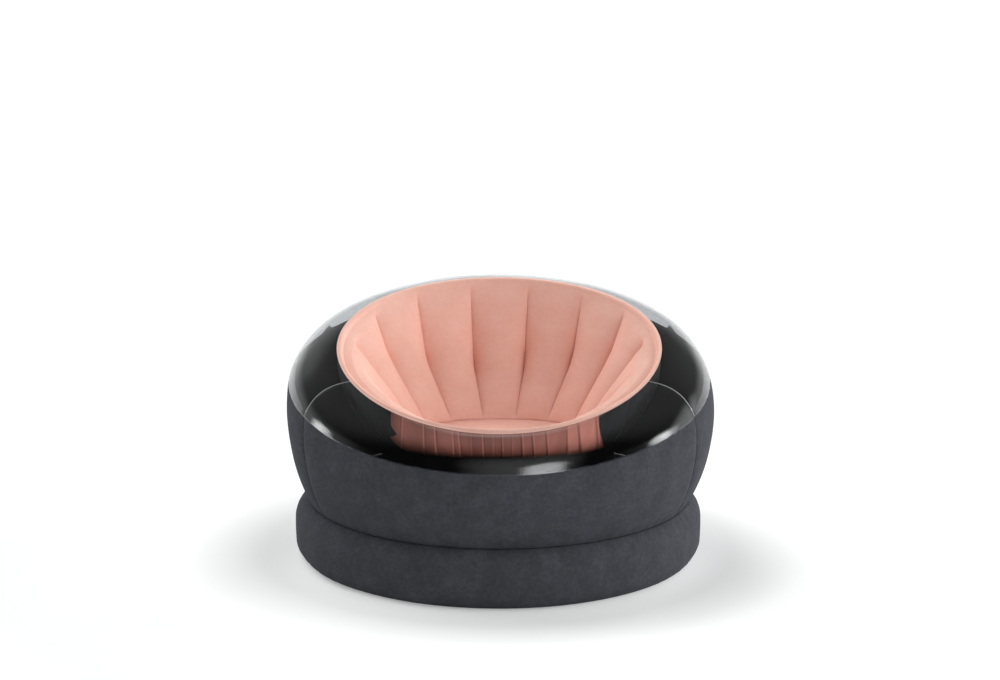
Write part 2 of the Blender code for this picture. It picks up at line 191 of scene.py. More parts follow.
matt = add_node(tree, "BsdfDiffuse", {"Color": linear(floor_paper)})
bright = add_node(tree, "Emission", {"Color": linear(studio_white)}, {"Strength": level})
both = add_node(tree, "AddShader", {}, {0: matt, 1: bright})
add_node(tree, "OutputMaterial", {}, {"Surface": both})
floor.data.materials.append(paper)

for name, (strength, azimuth, elevation) in lamps.items():
    bpy.ops.object.light_add(type="SUN")
    lamp = bpy.context.object
    lamp.name = name
    lamp.data.energy = strength
    lamp.data.angle = lamp_softness
    lamp.rotation_euler = (math.radians(90 - elevation), 0, math.radians(azimuth))
    lamp.visible_glossy = False


# Base ring: floor sheet
# A flat disc of flocked vinyl that the chair stands on, welded to the side wall at its edge.
# The air and the ties inside keep it flat, with faint radial pulls near the weld.

columns_round = 720
floor_rows = 40
sheet_thickness = 0.0005
weld_tolerance = 0.00005
base_centre_y = 0.008
floor_radius = 0.503
floor_pull_reach = 0.030
floor_row_spread = 1.5
# Ripples: height, fewest and most waves round the chair, and the seed of their mix
floor_ripple = (0.0012, 40, 110, 11)
waves_in_a_mix = 24


def ring(turn, half_width, half_depth, centre_y, height):
    """Points of an oval ring round the chair."""
    x = half_width * np.sin(turn)
    y = centre_y - half_depth * np.cos(turn)
    return np.stack([x, y, height + 0 * turn], axis=1)


def outward(turn):
    return np.stack([np.sin(turn), -np.cos(turn), 0 * turn], axis=1)


def uneven(turn, ripple):
    """Uneven ripples round the chair, in whole waves so that they close."""
    height, fewest, most, seed = ripple
    draw = np.random.default_rng(seed)
    waves = draw.integers(fewest, most + 1, size=waves_in_a_mix)
    phases = draw.uniform(0, 2 * math.pi, size=waves_in_a_mix)
    return height * np.cos(np.outer(turn, waves) + phases).sum(axis=1) / math.sqrt(waves_in_a_mix)


def edit_all():
    """Opens the active object in edit mode, with all of its mesh selected."""
    bpy.ops.object.mode_set(mode="EDIT")
    bpy.ops.mesh.select_all(action="SELECT")


def loft(name, columns, rows, shape, closed, tone=None):
    """A grid bent into a panel. shape gives the points for shares across (round) and up, and
    tone, where painted light and shade follows the shape, a value from 0 to 1 that is kept under its name.
    closed welds a round panel's two ends together."""
    bpy.ops.object.select_all(action="DESELECT")
    bpy.ops.mesh.primitive_grid_add(x_subdivisions=columns, y_subdivisions=rows, size=1)
    panel = bpy.context.object
    panel.name = name
    panel.data.name = name
    flat = np.empty(3 * len(panel.data.vertices))
    panel.data.vertices.foreach_get("co", flat)
    across, up = flat.reshape(-1, 3)[:, :2].T + 0.5
    panel.data.vertices.foreach_set("co", shape(across, up).astype(np.float32).ravel())
    if tone:
        values = panel.data.attributes.new("tone", "FLOAT", "POINT")
        values.data.foreach_set("value", tone(across, up).astype(np.float32))
    if closed:
        edit_all()
        bpy.ops.mesh.remove_doubles(threshold=weld_tolerance)
        bpy.ops.object.mode_set(mode="OBJECT")
    return panel


def apply_modifier(piece, modifier):
    bpy.context.view_layer.objects.active = piece
    bpy.ops.object.modifier_apply(modifier=modifier.name)


def thicken(panel, thickness, outer, inner):
    """Gives a panel its thickness, on the air side, and a finish for each face."""
    panel.data.materials.append(outer)
    panel.data.materials.append(inner)
    solidify = panel.modifiers.new("Thickness", "SOLIDIFY")
    solidify.thickness = thickness
    solidify.offset = -1
    solidify.material_offset = 1
    apply_modifier(panel, solidify)
    panel.data.shade_smooth()
    return panel


def stand_for(piece, body, slot, *nodes):
    """A finished piece rides on its body and hides its CAD nodes. slot, the name of its finish, is not
    used.
    """
    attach(piece, body)
    if nodes:
        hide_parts(*nodes)


def per_metre(millimetres):
    """A pattern's scale, from the real size of its grain."""
    return 1000 / millimetres


def flock(name, colour, deep_colour, light_colour, sheen):
    """Flocked vinyl: short upright fibres on a sheet, matt and soft, like fine suede.

    The nap leans one way or another in patches of 9 to 60 mm, which lightens or darkens it a
    little. The fibres are under 1 mm and are drawn at 2 mm, so that they show.
    """
    material, tree, place = new_material(name)
    patches = add_node(tree, "TexNoise", {"Scale": per_metre(59), "Detail": 3.0, "Roughness": 0.6},
                       {"Vector": place})
    brushed = add_node(tree, "TexNoise", {"Scale": per_metre(9.1), "Detail": 3.0, "Roughness": 0.65},
                       {"Vector": place})
    fibres = add_node(tree, "TexNoise", {"Scale": per_metre(2.1), "Detail": 2.0}, {"Vector": place})
    lean = add_node(tree, "Mix", {"data_type": "FLOAT", "Factor": 0.5}, {2: patches, 3: brushed})
    grain = add_node(tree, "Mix", {"data_type": "FLOAT", "Factor": 0.35}, {2: lean, 3: fibres})
    tones = add_node(tree, "ValToRGB", {}, {"Fac": grain})
    steps = tones.color_ramp.elements
    steps[0].position = 0.34
    steps[0].color = linear(deep_colour)
    steps[1].position = 0.66
    steps[1].color = linear(light_colour)
    steps.new(0.5).color = linear(colour)
    nap = add_node(tree, "Bump", {"Strength": 0.4, "Distance": 0.0007}, {"Height": fibres})
    shader = add_node(tree, "BsdfPrincipled", {"Roughness": 0.95, "Specular IOR Level": 0.1,
                      "Sheen Weight": sheen, "Sheen Roughness": 0.5, "Sheen Tint": linear(light_colour)},
                      {"Base Color": tones, "Normal": nap})
    add_node(tree, "OutputMaterial", {}, {"Surface": shader})
    return material


def plain_vinyl(name, colour, roughness, shine):
    """The bare side of a vinyl sheet: smooth, satin, with the faint orange peel of calendering."""
    material, tree, place = new_material(name)
    peel = add_node(tree, "TexNoise", {"Scale": per_metre(5.5), "Detail": 2.0}, {"Vector": place})
    cloud = add_node(tree, "TexNoise", {"Scale": per_metre(110), "Detail": 3.0}, {"Vector": place})
    lighter = [1.25 * channel for channel in linear(colour)[:3]] + [1.0]
    tone = add_node(tree, "Mix", {"data_type": "RGBA", 6: linear(colour), 7: lighter}, {"Factor": cloud})
    rough = add_node(tree, "MapRange", {"To Min": roughness * 0.85, "To Max": roughness * 1.15},
                     {"Value": cloud})
    bump = add_node(tree, "Bump", {"Strength": 0.05, "Distance": 0.0005}, {"Height": peel})
    shader = add_node(tree, "BsdfPrincipled", {"Specular IOR Level": shine},
                      {"Base Color": tone.outputs[2], "Roughness": rough, "Normal": bump})
    add_node(tree, "OutputMaterial", {}, {"Surface": shader})
    return material


charcoal = flock("flocked_charcoal_vinyl", "45464b", "3b3c41", "53545a", 0.22)
charcoal_back = plain_vinyl("charcoal_vinyl_back", "0b0b0c", 0.6, 0.12)


def floor_shape(across, up):
    turn = 2 * math.pi * across
    radius = floor_radius * (1 - up ** floor_row_spread) + weld_tolerance / 2
    edge = np.exp(-(floor_radius - radius) / floor_pull_reach)
    height = edge * np.abs(uneven(turn, floor_ripple)) * (up > 0)
    return ring(turn, radius, radius, base_centre_y, height)


floor_sheet = loft("flocked_floor_sheet", columns_round, floor_rows, floor_shape, True)
edit_all()
bpy.ops.mesh.flip_normals()
bpy.ops.object.mode_set(mode="OBJECT")
thicken(floor_sheet, sheet_thickness, charcoal, charcoal_back)
stand_for(floor_sheet, "chair", "charcoal_flock", "floor_sheet")


# Base ring: side wall
# One strip of charcoal flocked vinyl, blown out to a low round tyre between the floor weld
# and the waist weld. Short pulls run from both welds. The back has a flat with the valve's hole.

base_rows = 72
base_bulge_radius = 0.532
base_corner_height = 0.035
base_shoulder_height = 0.054
waist_radius = 0.500
waist_height = 0.150
weld_gap = 0.0003
valve_wall_y = 0.539037
valve_height = 0.065225
valve_hole_radius = 0.0213
hole_reach = 0.04
hole_sides = 96
base_arc_shares = (0.0, 0.34, 0.52, 1.0)
base_side_crown = 0.003
base_right_flat = 0.006
shoulder_fullness = 1.25
base_top_ripple = (0.0016, 45, 110, 21)
base_foot_ripple = (0.0010, 50, 120, 22)
base_swell = (0.0012, 3, 14, 23)
base_top_pull_reach = 0.016
base_foot_pull_reach = 0.014
base_pull_limit = 0.001
base_weld_hold = 0.010


def base_wall_shape(across, up):
    turn = 2 * math.pi * across
    top = waist_height - weld_gap
    arc = np.interp(up, base_arc_shares, range(4))
    low = np.minimum(arc, 1) * math.pi / 2
    high = np.maximum(arc - 2, 0) * math.pi / 2
    radius = np.where(arc < 2, floor_radius + (base_bulge_radius - floor_radius) * np.sin(low),
                      waist_radius + (base_bulge_radius - waist_radius) * np.cos(high) ** shoulder_fullness)
    straight = top - base_shoulder_height - base_corner_height
    height = np.where(arc <= 1, base_corner_height * (1 - np.cos(low)),
                      base_corner_height + straight * np.clip(arc - 1, 0, 1)
                      + base_shoulder_height * np.sin(high))
    pull = uneven(turn, base_top_ripple) * np.exp(-(top - height) / base_top_pull_reach)
    pull += uneven(turn, base_foot_ripple) * np.exp(-height / base_foot_pull_reach)
    swell = uneven(turn, base_swell) + base_side_crown * np.sin(math.pi * height / top)
    swell -= base_right_flat * np.maximum(np.sin(turn), 0) ** 2
    free = np.clip(np.minimum(height, top - height) / base_weld_hold, 0, 1)
    radius = radius + (np.minimum(pull, base_pull_limit) + swell) * free
    point = ring(turn, radius, radius, base_centre_y, height)
    point[:, 1] = np.minimum(point[:, 1], valve_wall_y)
    return point


base_wall = loft("flocked_base_wall", columns_round, base_rows, base_wall_shape, True)
thicken(base_wall, sheet_thickness, charcoal, charcoal_back)
bpy.ops.object.select_all(action="DESELECT")
bpy.ops.mesh.primitive_cylinder_add(vertices=hole_sides, radius=valve_hole_radius, depth=hole_reach,
                                    location=(0, valve_wall_y, valve_height),
                                    rotation=(math.pi / 2, 0, 0))
hole = bpy.context.object
cut = base_wall.modifiers.new("Valve hole", "BOOLEAN")
cut.object = hole
cut.operation = "DIFFERENCE"
apply_modifier(base_wall, cut)
bpy.data.objects.remove(hole)
stand_for(base_wall, "chair", "charcoal_flock", "base_side_wall")


# Upper ring: front and back wall
# The tall ring is two panels of the same flocked sheet, welded together down both sides.
# Each upright weld draws the panels in to a soft crease. Above the seam their ragged lap
# lies inside the clear film, with a loose fold of it on each side at the back.

wall_rows = 104
side_weld_turn = math.radians(64)
seam_half_width = 0.547
seam_half_depth = 0.539
seam_centre_y = -0.006
seam_heights = (0.352, 0.470, 0.576)
wall_bulge = 0.027
wall_fullness = 2.3
wall_lean = 0.004
crease_depth = 0.007
crease_reach = 0.015
crease_fullness = 0.5
waist_ripple = (0.0018, 40, 100, 31)
under_seam_ripple = (0.0009, 45, 100, 32)
wall_swell = (0.0016, 3, 12, 33)
# Reach of the pulls from a weld, and how far from it the sheet is held flat
waist_pull = (0.022, 0.012)
under_seam_pull = (0.014, 0.010)
lap_share = 0.95
lap_height = 0.0022
lap_ripple = (0.0005, 30, 90, 34)
lap_depth = 0.0012
lap_tuck_share = 1 / 3
loose_fold_turn = math.radians(121)
loose_fold_width = math.radians(1.6)
loose_fold_height = 0.024
rim_half_width = 0.4165
rim_half_depth = 0.352
rim_centre_y = -0.088
rim_heights = (0.426, 0.569, 0.676)
collar_bulge = 0.026
collar_crease_depth = 0.003
collar_crease_reach = 0.010
collar_crease_fullness = 0.6
film_seam_ripple = (0.00005, 20, 60, 41)
film_rim_ripple = (0.00010, 50, 90, 42)
collar_swell = (0.0008, 4, 12, 43)
film_seam_pull = (0.020, 0.010)
film_rim_pull = (0.010, 0.003)


def size_round(turn, sizes):
    """A size that goes smoothly from the front of the chair over its sides to its back."""
    front, side, back = sizes
    middle = (front + back) / 2
    level = (middle + side) / 2
    saddle = (middle - side) / 2
    tilt = (back - front) / 2
    return level - tilt * np.cos(turn) + saddle * np.cos(2 * turn)


def seam_ring(turn):
    return ring(turn, seam_half_width, seam_half_depth, seam_centre_y, size_round(turn, seam_heights))


def rim_ring(turn, inset=0.0):
    return ring(turn, rim_half_width - inset, rim_half_depth - inset, rim_centre_y,
                size_round(turn, rim_heights))


def from_front(turn):
    """The turn from the chair's front to either side, from 0 to half a turn."""
    return np.abs((turn + math.pi) % (2 * math.pi) - math.pi)


def crease(turn, reach):
    """1 at the chair's two upright side welds, and fading away from them."""
    return np.exp(-np.abs(from_front(turn) - side_weld_turn) * waist_radius / reach)


def arch(share):
    """0 at both edges of a panel and 1 half way between them."""
    return 4 * share * (1 - share)


def beside_weld(distance, reach, hold):
    """1 just beside a weld, 0 on it, where the sheet is held, and fading out over a reach."""
    return np.exp(-distance / reach) * np.clip(distance / hold, 0, 1)


def wall_surface(turn, share, lift):
    """The upper wall's face, from the waist at 0 to the seam at 1, with its pulls and creases."""
    low = ring(turn, waist_radius, waist_radius, base_centre_y, waist_height + weld_gap)
    point = low + (seam_ring(turn) - low) * share[:, None]
    fullness = 1 - np.abs(2 * share - 1) ** wall_fullness
    out = wall_bulge * fullness + lift
    out -= crease_depth * crease(turn, crease_reach) * arch(share) ** crease_fullness
    above = point[:, 2] - waist_height
    below = seam_ring(turn)[:, 2] - point[:, 2]
    out += uneven(turn, waist_ripple) * beside_weld(above, *waist_pull)
    out += uneven(turn, under_seam_ripple) * beside_weld(below, *under_seam_pull)
    out += (uneven(turn, wall_swell) + wall_lean * np.sin(turn)) * fullness
    return point + outward(turn) * out[:, None]


def collar_surface(turn, share, lift):
    """The collar's face, from the seam at 0 to the rim at 1, with the puckers beside its welds."""
    low = seam_ring(turn)
    chord = rim_ring(turn) - low
    square = outward(turn) * chord[:, 2:3]
    square[:, 2] -= (chord * outward(turn)).sum(axis=1)
    square /= np.linalg.norm(square, axis=1)[:, None]
    length = np.linalg.norm(chord, axis=1)
    bulge = (collar_bulge + uneven(turn, collar_swell)) * arch(share)
    pinch = crease(turn, collar_crease_reach) * arch(share) ** collar_crease_fullness
    bulge -= collar_crease_depth * pinch
    bulge += uneven(turn, film_seam_ripple) * beside_weld(share * length, *film_seam_pull)
    bulge += uneven(turn, film_rim_ripple) * beside_weld((1 - share) * length, *film_rim_pull)
    return low + chord * share[:, None] + square * (bulge + lift)[:, None]


def collar_length(turn):
    return np.linalg.norm(rim_ring(turn) - seam_ring(turn), axis=1)


def wall_lap(turn):
    """How far the wall's ragged lap reaches up inside the film, as a share of the film's length."""
    fold = np.exp(-((from_front(turn) - loose_fold_turn) / loose_fold_width) ** 2)
    ragged = np.clip(uneven(turn, lap_ripple), -lap_ripple[0], 2 * lap_ripple[0])
    return (lap_height + ragged + loose_fold_height * fold) / collar_length(turn)


halves = (("front", -side_weld_turn, side_weld_turn),
          ("back", side_weld_turn, 2 * math.pi - side_weld_turn))


def half_ring(name, start, end, full_columns, rows, surface_at):
    """A panel between the two upright welds. surface_at takes turns and shares up."""
    columns = round(full_columns * (end - start) / (2 * math.pi))
    return loft(name, columns, rows, lambda across, up: surface_at(start + (end - start) * across, up),
                False)


def wall_at(turn, up):
    wall = wall_surface(turn, np.clip(up / lap_share, 0, 1), 0 * turn)
    inside = np.clip((up - lap_share) / (1 - lap_share), 0, 1)
    tucked = -lap_depth * np.minimum(1, inside / lap_tuck_share)
    lap = collar_surface(turn, inside * wall_lap(turn), tucked)
    return np.where((up > lap_share)[:, None], lap, wall)


for half, start, end in halves:
    wall = half_ring(f"flocked_{half}_wall", start, end, columns_round, wall_rows, wall_at)
    thicken(wall, sheet_thickness, charcoal, charcoal_back)
    stand_for(wall, "chair", "charcoal_flock", f"{half}_wall")


# Collar: front and back half
# Clear vinyl film from the flocked wall's top edge to the rim of the bowl, blown round and
# tight. It laps over the wall's outside at the seam and wrinkles finely beside its welds.

collar_columns_round = 1080
collar_rows = 64
rim_lap = 0.009
film_lap = 0.0015
film_lap_lift = 0.0005
film_seam_share = 0.06
film_rim_share = 0.92
film_lift_share = 0.05
film_tint = "f3f4f5"
mirror_face_on = 0.04
mirror_edge_gain = 0.75
mirror_steepness = 5.0


def clear_film(name):
    """Clear vinyl film: glossy and see-through, with the light grey cast of plasticised sheet.

    Its mirror share follows the angle of view, as for any clear plastic: 4 % face on and most
    of it edge on. The surface waves gently over 70 mm or so, which bends the reflections.
    """
    material, tree, place = new_material(name)
    ripple = add_node(tree, "TexNoise", {"Scale": per_metre(71.4), "Detail": 1.0, "Roughness": 0.4},
                      {"Vector": place})
    bump = add_node(tree, "Bump", {"Strength": 0.10, "Distance": 0.004}, {"Height": ripple})
    facing = add_node(tree, "LayerWeight", {"Blend": 0.5}, {"Normal": bump})
    steep = add_node(tree, "Math", {"operation": "POWER", 1: mirror_steepness},
                     {0: facing.outputs["Facing"]})
    mirror = add_node(tree, "Math", {"operation": "MULTIPLY_ADD", 1: mirror_edge_gain, 2: mirror_face_on},
                      {0: steep})
    clear = add_node(tree, "BsdfTransparent", {"Color": linear(film_tint)})
    gloss = add_node(tree, "BsdfGlossy", {"Color": linear("ffffff"), "Roughness": 0.07}, {"Normal": bump})
    mixed = add_node(tree, "MixShader", {}, {0: mirror, 1: clear, 2: gloss})
    add_node(tree, "OutputMaterial", {}, {"Surface": mixed})
    return material


film = clear_film("clear_vinyl_film")


def collar_at(turn, up):
    drop = film_lap * np.clip(1 - up / film_seam_share, 0, 1)
    wall_height = seam_ring(turn)[:, 2] - waist_height
    over_wall = wall_surface(turn, 1 - drop / wall_height, film_lap_lift + 0 * turn)
    share = np.clip((up - film_seam_share) / (film_rim_share - film_seam_share), 0, 1)
    film_face = collar_surface(turn, share, film_lap_lift * np.clip(1 - share / film_lift_share, 0, 1))
    lapped = np.clip((up - film_rim_share) / (1 - film_rim_share), 0, 1)[:, None]
    film_face += (rim_ring(turn, rim_lap) - rim_ring(turn)) * lapped
    return np.where((up < film_seam_share)[:, None], over_wall, film_face)


for half, start, end in halves:
    collar = half_ring(f"clear_collar_{half}", start, end, collar_columns_round, collar_rows, collar_at)
    thicken(collar, sheet_thickness, film, film)
    stand_for(collar, "chair", "clear_gloss_vinyl", f"collar_{half}")


# Collar: side welds
# The two halves of film are welded together over each upright side weld. The welded strip is
# cloudy, which shows as a thin pale line from the rim to the seam.

strip_width = 0.0036
strip_columns = 6
strip_rows = 40
strip_lift = 0.0010
strip_fullness = 4


def clouded_film(name):
    """Two films pressed into one by the welding bar: milky and half clear, finely mottled."""
    material, tree, place = new_material(name)
    mottle = add_node(tree, "TexNoise", {"Scale": per_metre(3.3), "Detail": 2.0}, {"Vector": place})
    cloudy = add_node(tree, "MapRange", {"To Min": 0.30, "To Max": 0.55}, {"Value": mottle})
    milk = add_node(tree, "BsdfPrincipled", {"Base Color": linear("b4b7b8"), "Roughness": 0.3})
    clear = add_node(tree, "BsdfTransparent", {"Color": linear(film_tint)})
    mixed = add_node(tree, "MixShader", {}, {0: cloudy, 1: clear, 2: milk})
    add_node(tree, "OutputMaterial", {}, {"Surface": mixed})
    return material


clouded = clouded_film("welded_vinyl_film")
for side, weld_turn in (("right", side_weld_turn), ("left", -side_weld_turn)):
    def strip_at(across, up):
        turn = weld_turn + (across - 0.5) * strip_width / waist_radius
        lift = strip_lift * (1 - (2 * across - 1) ** strip_fullness)
        return collar_surface(turn, up, lift)

    strip = loft(f"collar_weld_{side}", strip_columns, strip_rows, strip_at, False)
    thicken(strip, sheet_thickness, clouded, clouded)
    stand_for(strip, "chair", "clear_gloss_vinyl")


# Bowl: the channelled liner
# One coral flocked sheet with 16 upright channels, held down along each groove by a tie
# inside. Its top edge is pressed flat and glossy by the rim's weld, then rolls over a soft
# bead, and below a plain band the channels stand full.

liner_rows = 100
fold_half_width = 0.352
fold_half_depth = 0.310
fold_centre_y = -0.098
fold_heights = (0.385, 0.498, 0.447)
seat_half_width = 0.210
seat_half_depth = 0.190
seat_centre_y = -0.133
seat_height = 0.335
seat_squareness = 2.6
flange_width = 0.012
lip_drop = 0.010
lip_inset = 0.004
weld_width = 0.0038
weld_rise = 0.0005
# The bead's curve is pulled up at two places on its way from the weld to the lip
bead_heights = (0.0100, 0.0016, 0.0004)
bead_start_share = 0.3
bead_end_share = 0.7
bead_pull = 1.35
channel_count = 16
channel_crown = 0.026
channel_arc = 0.60
groove_start_turns = (0, 84, 98, 125, 180)
groove_start_depths = (1.10, 1.00, 0.30, 0.07, 0.05)
groove_wander = (0.01, 2, 20, 51)
groove_ends = 0.020
groove_ends_growth = 3
liner_lift = weld_gap + sheet_thickness
liner_depth_shares = (0.0, 0.25, 0.6, 1.0, 1.35, 1.7, 1.9, 2.0)
liner_crown_shares = (0.0, 0.60, 1.0, 1.0, 0.95, 0.70, 0.36, 0.0)
rim_up_share = 0.05
bead_up_share = 0.14
crown_reach = 0.55
groove_reach = 0.10
fold_steps = 9
# How far the columns crowd at the grooves, and a guard against rounding where channels meet
groove_crowding = 0.5
channel_guard = 1e-6
# How far apart, round and down, the points lie from which a face's direction is taken
normal_turn = math.radians(0.5)
normal_reach = 0.25

coral = flock("flocked_coral_vinyl", "f6c4b4", "f2bbaa", "facdbf", 0.2)
coral_back = plain_vinyl("coral_vinyl_back", "d98a78", 0.3, 0.35)


def pressed_coral(name):
    """Flock pressed flat by the welding bar under the film's edge: smooth, pale and glossy."""
    material, tree, place = new_material(name)
    pressed = add_node(tree, "TexNoise", {"Scale": per_metre(3.8), "Detail": 3.0}, {"Vector": place})
    tone = add_node(tree, "Mix", {"data_type": "RGBA", 6: linear("f4bcac"), 7: linear("fbd8cd")},
                    {"Factor": pressed})
    bump = add_node(tree, "Bump", {"Strength": 0.3, "Distance": 0.0004}, {"Height": pressed})
    shader = add_node(tree, "BsdfPrincipled", {"Roughness": 0.28, "Specular IOR Level": 0.6,
                      "Coat Weight": 0.8, "Coat Roughness": 0.08},
                      {"Base Color": tone.outputs[2], "Normal": bump})
    add_node(tree, "OutputMaterial", {}, {"Surface": shader})
    return material


def squarish_ring(turn, half_width, half_depth, centre_y, height):
    """A ring that is a little fuller than an oval at its four corners."""
    corners = np.abs(np.sin(turn)) ** seat_squareness + np.abs(np.cos(turn)) ** seat_squareness
    fuller = corners ** (-1 / seat_squareness)
    return ring(turn, half_width * fuller, half_depth * fuller, centre_y, height)


def seat_ring(turn, spread=0.0, drop=0.0):
    """The seat's edge, or a ring that much wider and lower."""
    return squarish_ring(turn, seat_half_width + spread, seat_half_depth + spread, seat_centre_y,
                         seat_height - drop)


def plain_bowl(turn, depth):
    """The bowl without its channels. Depth 0 is under the lip, 1 the fold and 2 the seat."""
    lip = rim_ring(turn, flange_width + lip_inset)
    lip[:, 2] += liner_lift - lip_drop
    fold = ring(turn, fold_half_width, fold_half_depth, fold_centre_y, size_round(turn, fold_heights))
    first = np.clip(depth, 0, 1)[:, None]
    second = np.clip(depth - 1, 0, 1)[:, None]
    return lip + (fold - lip) * first + (seat_ring(turn) - fold) * second


def soft_bowl(turn, depth, reach):
    """The same with its fold rounded over a reach of depth, which is one for each point."""
    reach = np.minimum(reach, np.minimum(depth, 2 - depth))
    steps = np.linspace(-1, 1, fold_steps)
    return sum(plain_bowl(turn, depth + step * reach) for step in steps) / len(steps)


def bowl_normal(turn, depth):
    """The direction square to the plain bowl, on the sitter's side."""
    across = plain_bowl(turn + normal_turn, depth) - plain_bowl(turn - normal_turn, depth)
    lower, higher = np.minimum(depth + normal_reach, 2), np.maximum(depth - normal_reach, 0)
    down = plain_bowl(turn, lower) - plain_bowl(turn, higher)
    square = np.cross(across, down)
    return square / np.linalg.norm(square, axis=1)[:, None]


def channel_turns(across):
    """Turns for shares round the bowl, closer together at the grooves, and the place across
    the channel that each lies in."""
    channel = np.minimum(np.floor(across * channel_count + channel_guard), channel_count - 1)
    step = across * channel_count - channel
    place = (1 - groove_crowding) * step + groove_crowding * (1 - np.cos(math.pi * step)) / 2
    return 2 * math.pi * (channel + place + 0.5) / channel_count, place


def rim_roll(turn, share):
    """The liner's top edge from the rim inwards: the flat weld, then a soft bead into the bowl."""
    edge = rim_ring(turn)
    weld_end = rim_ring(turn, weld_width)
    weld_end[:, 2] += weld_rise
    bead = size_round(turn, bead_heights)
    over = np.clip((share - rim_up_share) / (bead_up_share - rim_up_share), 0, 1)[:, None]
    start_up = rim_ring(turn, weld_width + bead_start_share * flange_width)
    start_up[:, 2] += bead * bead_pull
    end_up = rim_ring(turn, flange_width + bead_end_share * lip_inset)
    end_up[:, 2] += bead * bead_pull
    end = rim_ring(turn, flange_width + lip_inset)
    end[:, 2] -= lip_drop
    roll = (weld_end * (1 - over) ** 3 + start_up * 3 * over * (1 - over) ** 2
            + end_up * 3 * over ** 2 * (1 - over) + end * over ** 3)
    flat = np.clip(share / rim_up_share, 0, 1)[:, None]
    point = np.where((share < rim_up_share)[:, None], edge + (weld_end - edge) * flat, roll)
    point[:, 2] += liner_lift
    return point


def liner_shape(across, up):
    turn, place = channel_turns(across)
    inside = np.clip((up - bead_up_share) / (1 - bead_up_share), 0, 1) * 2
    arc = np.clip(arch(place), 0, 1) ** channel_arc
    start = np.interp(np.degrees(from_front(turn)), groove_start_turns, groove_start_depths)
    past = inside - start - uneven(turn, groove_wander)
    started = 1 / (1 + np.exp(-past / (groove_ends * (1 + groove_ends_growth * start))))
    crown = channel_crown * np.interp(inside, liner_depth_shares, liner_crown_shares)
    fullness = 1 - started * (1 - arc)
    base = soft_bowl(turn, inside, groove_reach + (crown_reach - groove_reach) * arc)
    channels = base + bowl_normal(turn, inside) * (crown * fullness)[:, None]
    return np.where((up < bead_up_share)[:, None], rim_roll(turn, up), channels)


liner = loft("channelled_bowl_liner", columns_round, liner_rows, liner_shape, True)
thicken(liner, sheet_thickness, coral, coral_back)
liner.data.materials.append(pressed_coral("welded_coral_flock"))
for face in liner.data.polygons:
    out_by = (face.center.x / (rim_half_width - weld_width)) ** 2
    out_by += ((face.center.y - rim_centre_y) / (rim_half_depth - weld_width)) ** 2
    if out_by > 1:
        face.material_index = 2
stand_for(liner, "chair", "coral_flock", "backrest_liner")


# Bowl: the seat
# A coral flocked sheet, domed a little by the air and welded to the liner's lower edge, with
# fine pulls beside the weld.

seat_rows = 40
seat_crown = 0.020
seat_shrink = 0.9985
seat_ripple = (0.0012, 20, 60, 61)
seat_pull = (0.020, 0.006)


def seat_shape(across, up):
    turn, _ = channel_turns(across)
    centre = np.array([0, seat_centre_y, seat_height])
    share = (1 - up)[:, None]
    point = centre + (seat_ring(turn) - centre) * (share * seat_shrink)
    point[:, 2] += seat_crown * (1 - share[:, 0] ** 2)
    point[:, 2] += uneven(turn, seat_ripple) * beside_weld(up * seat_half_width, *seat_pull)
    return point


seat = loft("flocked_seat", columns_round // 2, seat_rows, seat_shape, True)
thicken(seat, sheet_thickness, coral, coral_back)
stand_for(seat, "chair", "coral_flock", "seat_sheet")


# Bowl: the outer skin
# A plain satin sheet behind the liner, from under the rim down to a corner and in to the seat.
# Across its front, between the listed edges, it is coral and shows through the collar; beyond
# them it is drawn black, as dark as the sides look through the film. It is cut long round the
# front and gathered, so it hangs in uneven upright pleats. Its coral is drawn lighter on their
# ridges, darker in their folds and lighter or darker from place to place across the front,
# which is painted light and shade.

skin_columns = 1100
skin_rows = 56
skin_half_width = 0.300
skin_half_depth = 0.280
skin_centre_y = -0.120
skin_height = 0.355
skin_bulges = (0.020, 0.045, 0.070)
skin_seat_gap = 0.0015
skin_top_drop = 0.0012
skin_under_share = 0.22
skin_front_share = 0.58
skin_front_turn = math.radians(58)
# A curtain hangs fullest near its foot. Its gain makes that fullest place as wide as the bulge.
curtain_power = 5
curtain_gain = 1.717
skin_ripple = (0.0006, 30, 90, 71)
pleat_slope = 1.6
pleat_turn = 1.3
pleat_fold = 2.2
# Painted highlight on each pleat's ridge and painted shade in its fold: how strong each is and where it
# lies
pleat_painted_highlight = 0.22
pleat_painted_highlight_place = 0.6
pleat_painted_shade = 0.06
pleat_painted_shade_place = -1.2
# Pleats stand low under the rim, full half way down and lower again at the corner
pleat_rim_share = 0.25
pleat_hang_share = 0.85
pleat_hang_fullness = 0.6
# Where the coral panel ends on each side, across the chair, down from under the rim
coral_left_downs = (0.0, 0.28, 0.45, 0.85, 1.0)
coral_left_edge = (-0.268, -0.252, -0.272, -0.246, -0.225)
coral_right_downs = (0.0, 1.0)
coral_right_edge = (0.246, 0.262)

# Place across the chair, height and width of the long side and lean down the skin, all in
# millimetres, and which side is the long one. A pleat's other side is steep.
pleats = (
    (-240, 2, 26, -4, 1), (-184, 2, 10, 2, -1), (-155, 4, 28, 6, -1), (-112, 3, 14, 4, -1),
    (-97, 3, 9, 5, -1), (-68, 1, 12, 2, -1), (-39, 3, 22, 3, -1), (-14, 1, 9, 1, -1),
    (8, 2, 14, 2, 1), (32, 1, 9, -1, 1), (57, 3, 16, 3, 1), (84, 3, 22, 5, 1),
    (118, 3, 34, 4, 1), (167, 3, 30, 1, 1), (198, 4, 38, 7, 1), (243, 2, 10, 6, 1),
)
# Painted light and shade across the chair: how light the sheet is drawn at each place, standing in for how
# much light reaches it
painted_light_places = (-268, -250, -230, -200, -170, -120, -100, -70, 0, 75, 118, 140, 160, 168, 228, 242, 262)
painted_light_levels = (0.2, 0.5, 0.7, 0.55, 0.6, 0.8, 0.7, 0.5, 0.5, 0.6, 0.75, 0.7, 0.65, 1.2, 1.2, 0.6, 0.15)


